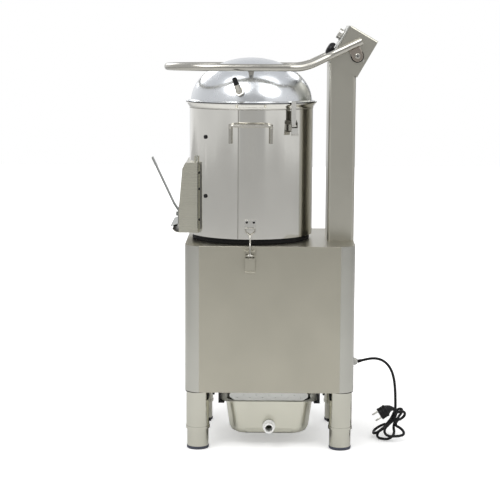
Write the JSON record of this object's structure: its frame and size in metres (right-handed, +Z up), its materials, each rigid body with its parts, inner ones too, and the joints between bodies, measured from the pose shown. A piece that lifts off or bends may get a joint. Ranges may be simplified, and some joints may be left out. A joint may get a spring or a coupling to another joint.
{
  "type": "electric potato peeler",
  "caption": "Stainless electric potato peeler: clamped abrasive drum on a cabinet, hinged dome lid, outlet door, timer head and slide-out waste pan.",
  "frame": {"origin": "middle of the machine in plan, without its free mains lead, at the floor", "axes": "+X from the outlet towards the control column, +Y from the front towards the back, +Z up"},
  "size_m": [0.706, 0.444, 1.1503],
  "materials": {
    "stainless_brushed": "satin",
    "stainless_polished": "polished",
    "machined_steel": "satin",
    "cast_alloy": "satin",
    "motor_paint": "satin",
    "black_rubber": "matte",
    "black_plastic": "satin",
    "rail_coating": "satin",
    "abrasive_grit": "rough",
    "light_plastic": "satin",
    "white_plastic": "satin",
    "grey_fitting": "satin"
  },
  "bodies": {
    "root": {"base_cabinet": "stainless_brushed", "base_floor": "stainless_brushed", "leg_sleeves": "stainless_brushed", "leg_clamp_screws": "black_plastic", "drum_seal_ring": "black_rubber", "catch_basin": "stainless_brushed", "bearing_housing": "cast_alloy", "shaft_bearings": "machined_steel", "motor_shelf": "stainless_brushed", "motor_body": "motor_paint", "drive_belt": "black_rubber", "pan_rails": "rail_coating", "column": "stainless_brushed", "control_head": "stainless_brushed", "control_panel": "stainless_polished", "switchgear": "light_plastic", "arm_pivot_bolts": "stainless_polished", "pivot_spacers": "black_rubber", "lid_switch": "black_plastic", "wiring_loom": "black_rubber", "drum_shell": "stainless_brushed", "abrasive_liner": "abrasive_grit", "liner_screws": "black_plastic", "drum_handles": "stainless_polished", "drum_latch_plates": "stainless_polished", "base_latch_plates": "stainless_polished", "outlet_chute": "stainless_brushed", "cable_gland": "grey_fitting", "power_cord": "black_rubber", "cord_hank": "black_rubber", "plug": "black_rubber"},
    "foot_fl": {"foot_front_left": "stainless_brushed"},
    "foot_fr": {"foot_front_right": "stainless_brushed"},
    "foot_rl": {"foot_rear_left": "stainless_brushed"},
    "foot_rr": {"foot_rear_right": "stainless_brushed"},
    "lid": {"lid_arm": "stainless_polished", "arm_lugs": "stainless_polished", "lid_dome": "stainless_polished", "lid_hangers": "stainless_polished", "water_nozzle": "stainless_brushed"},
    "knob": {"timer_knob": "stainless_polished"},
    "button": {"stop_button": "black_plastic"},
    "door": {"outlet_door": "stainless_brushed", "door_handle": "stainless_brushed", "door_seal": "black_rubber"},
    "lid_lever_front": {"lid_latch_lever_front": "stainless_polished"},
    "lid_hook_front": {"lid_latch_hook_front": "stainless_polished"},
    "lid_lever_rear": {"lid_latch_lever_rear": "stainless_polished"},
    "lid_hook_rear": {"lid_latch_hook_rear": "stainless_polished"},
    "base_lever_front": {"base_latch_lever_front": "stainless_polished"},
    "base_bail_front": {"base_latch_bail_front": "stainless_polished"},
    "base_lever_rear": {"base_latch_lever_rear": "stainless_polished"},
    "base_bail_rear": {"base_latch_bail_rear": "stainless_polished"},
    "pan": {"waste_pan": "stainless_polished", "pan_spigot": "white_plastic", "strainer_plate": "stainless_polished"},
    "disc": {"abrasive_disc": "stainless_brushed", "drive_shaft": "machined_steel", "drive_pulley": "cast_alloy"},
    "rotor": {"motor_pulley": "cast_alloy"}
  },
  "joints": [
    {"name": "lid_hinge", "type": "hinge", "parent": "root", "child": "lid", "pos_m": [0.25301, 0, 1.0683], "axis": [0, 1, 0], "range_deg": [0, 100]},
    {"name": "door_hinge", "type": "hinge", "parent": "root", "child": "door", "pos_m": [-0.20552, 0, 0.7506], "axis": [0, 1, 0], "range_deg": [0, 60]},
    {"name": "timer_turn", "type": "hinge", "parent": "root", "child": "knob", "pos_m": [0.22038, 0, 1.12178], "axis": [-0.866, 0, 0.5], "range_deg": [0, 300]},
    {"name": "stop_press", "type": "slide", "parent": "root", "child": "button", "axis": [0.866, 0, -0.5], "range_m": [0, 0.003], "stiffness_N_per_m": 600, "springref_m": -0.002},
    {"name": "lid_latch_front", "type": "hinge", "parent": "root", "child": "lid_lever_front", "pos_m": [0.07842, -0.13985, 0.892], "axis": [-0.7826, -0.6225, 0], "range_deg": [0, 90]},
    {"name": "lid_hook_swing_front", "type": "hinge", "parent": "lid_lever_front", "child": "lid_hook_front", "pos_m": [0.08116, -0.1433, 0.882], "axis": [-0.7826, -0.6225, 0], "range_deg": [-90, 0]},
    {"name": "base_latch_front", "type": "hinge", "parent": "root", "child": "base_lever_front", "pos_m": [-0.03282, -0.208, 0.552], "axis": [-1, 0, 0], "range_deg": [0, 90]},
    {"name": "base_bail_swing_front", "type": "hinge", "parent": "base_lever_front", "child": "base_bail_front", "pos_m": [-0.03282, -0.2124, 0.54], "axis": [-1, 0, 0], "range_deg": [-90, 0]},
    {"name": "lid_latch_rear", "type": "hinge", "parent": "root", "child": "lid_lever_rear", "pos_m": [0.07842, 0.13985, 0.892], "axis": [0.7826, -0.6225, 0], "range_deg": [0, 90]},
    {"name": "lid_hook_swing_rear", "type": "hinge", "parent": "lid_lever_rear", "child": "lid_hook_rear", "pos_m": [0.08116, 0.1433, 0.882], "axis": [0.7826, -0.6225, 0], "range_deg": [-90, 0]},
    {"name": "base_latch_rear", "type": "hinge", "parent": "root", "child": "base_lever_rear", "pos_m": [-0.03282, 0.208, 0.552], "axis": [1, 0, 0], "range_deg": [0, 90]},
    {"name": "base_bail_swing_rear", "type": "hinge", "parent": "base_lever_rear", "child": "base_bail_rear", "pos_m": [-0.03282, 0.2124, 0.54], "axis": [1, 0, 0], "range_deg": [-90, 0]},
    {"name": "pan_slide", "type": "slide", "parent": "root", "child": "pan", "axis": [0, -1, 0], "range_m": [0, 0.3]},
    {"name": "foot_fl_height", "type": "slide", "parent": "root", "child": "foot_fl", "axis": [0, 0, -1], "range_m": [0, 0.03]},
    {"name": "foot_fr_height", "type": "slide", "parent": "root", "child": "foot_fr", "axis": [0, 0, -1], "range_m": [0, 0.03]},
    {"name": "foot_rl_height", "type": "slide", "parent": "root", "child": "foot_rl", "axis": [0, 0, -1], "range_m": [0, 0.03]},
    {"name": "foot_rr_height", "type": "slide", "parent": "root", "child": "foot_rr", "axis": [0, 0, -1], "range_m": [0, 0.03]},
    {"name": "disc_spin", "type": "hinge", "parent": "root", "child": "disc", "pos_m": [-0.03282, 0, 0.59], "axis": [0, 0, 1], "continuous": true},
    {"name": "motor_spin", "type": "hinge", "parent": "root", "child": "rotor", "pos_m": [0.17888, 0, 0.254], "axis": [0, 0, 1], "continuous": true}
  ],
  "couplings": [
    {"joint": "lid_hook_swing_front", "follows": "lid_latch_front", "ratio": -1},
    {"joint": "lid_hook_swing_rear", "follows": "lid_latch_rear", "ratio": -1},
    {"joint": "base_bail_swing_front", "follows": "base_latch_front", "ratio": -1},
    {"joint": "base_bail_swing_rear", "follows": "base_latch_rear", "ratio": -1},
    {"joint": "motor_spin", "follows": "disc_spin", "ratio": 3.521}
  ]
}
